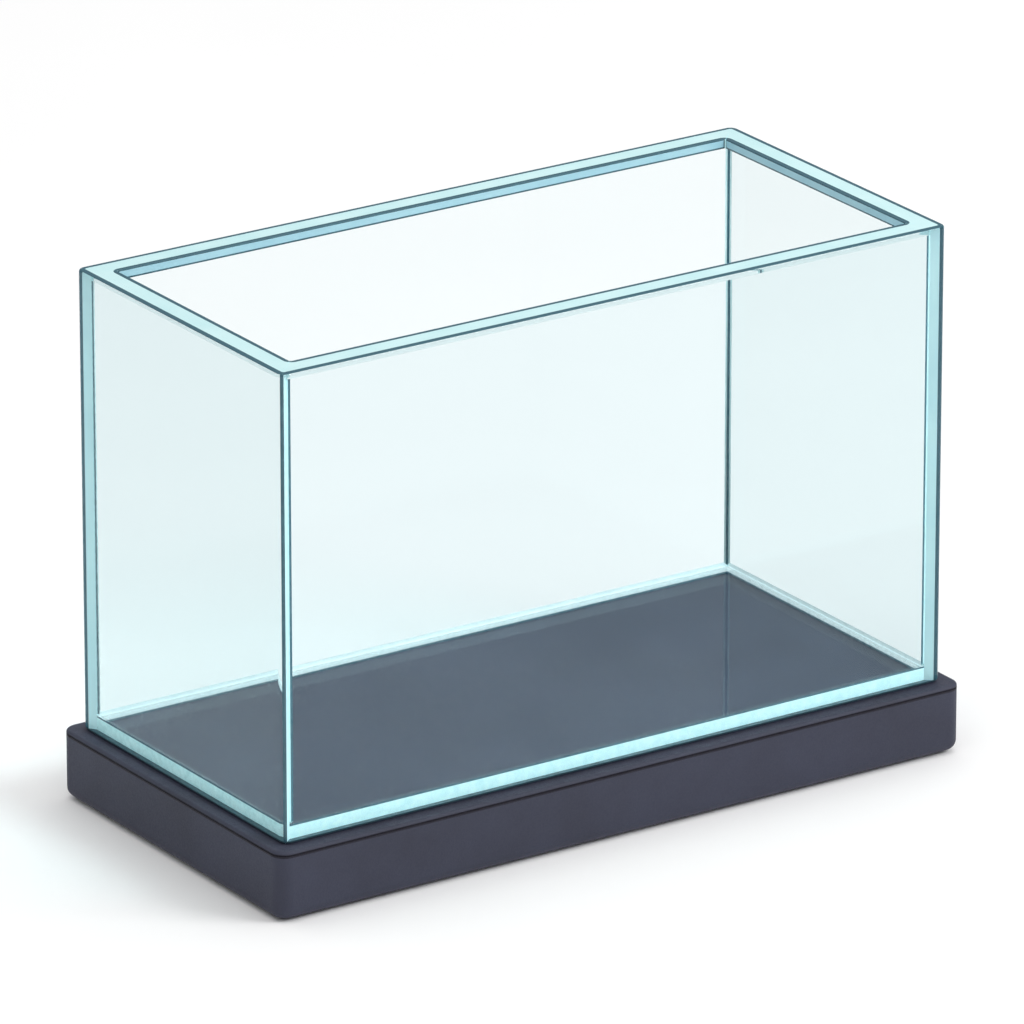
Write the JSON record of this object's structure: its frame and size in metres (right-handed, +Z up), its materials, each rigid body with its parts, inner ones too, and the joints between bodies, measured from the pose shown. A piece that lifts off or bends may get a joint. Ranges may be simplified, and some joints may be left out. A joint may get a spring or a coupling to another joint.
{
  "type": "glass aquarium tank",
  "caption": "Open-topped rectangular glass aquarium with polished braced edges, standing on a low dark rounded plinth with a foam mat and rubber feet.",
  "frame": {"origin": "middle of the plane under the rubber feet", "axes": "+X along the tank's length, towards its right end; +Y across, towards its back; +Z up"},
  "size_m": [0.624, 0.309, 0.428],
  "materials": {
    "float_glass": "clear float glass with a pale blue-green tint, edges ground and polished",
    "clear_silicone": "translucent glossy silicone, tooled smooth",
    "moulded_abs": "dark slate moulding with a fine even texture",
    "abs_sheet": "satin black sheet",
    "eva_foam": "matte closed-cell foam, dark slate",
    "rubber": "matte black",
    "zinc_plated_steel": "bright zinc"
  },
  "bodies": {
    "base": {"foot_1": "rubber", "foot_2": "rubber", "foot_3": "rubber", "foot_4": "rubber", "foot_5": "rubber", "foot_6": "rubber", "plinth_shell": "moulded_abs", "bottom_plate": "abs_sheet", "levelling_mat": "eva_foam", "foot_screws": "zinc_plated_steel", "plate_screws": "zinc_plated_steel"},
    "tank": {"bottom_pane": "float_glass", "front_pane": "float_glass", "right_pane": "float_glass", "back_pane": "float_glass", "left_pane": "float_glass", "front_brace": "float_glass", "right_brace": "float_glass", "back_brace": "float_glass", "left_brace": "float_glass", "front_brace_seam": "clear_silicone", "right_brace_seam": "clear_silicone", "back_brace_seam": "clear_silicone", "left_brace_seam": "clear_silicone", "front_base_seam": "clear_silicone", "right_base_seam": "clear_silicone", "back_base_seam": "clear_silicone", "left_base_seam": "clear_silicone", "front_left_corner_seam": "clear_silicone", "back_left_corner_seam": "clear_silicone", "front_right_corner_seam": "clear_silicone", "back_right_corner_seam": "clear_silicone"}
  },
  "joints": [
    {"name": "tank_lift", "type": "slide", "parent": "base", "child": "tank", "axis": [0, 0, 1], "range_m": [0, 0.15]}
  ]
}
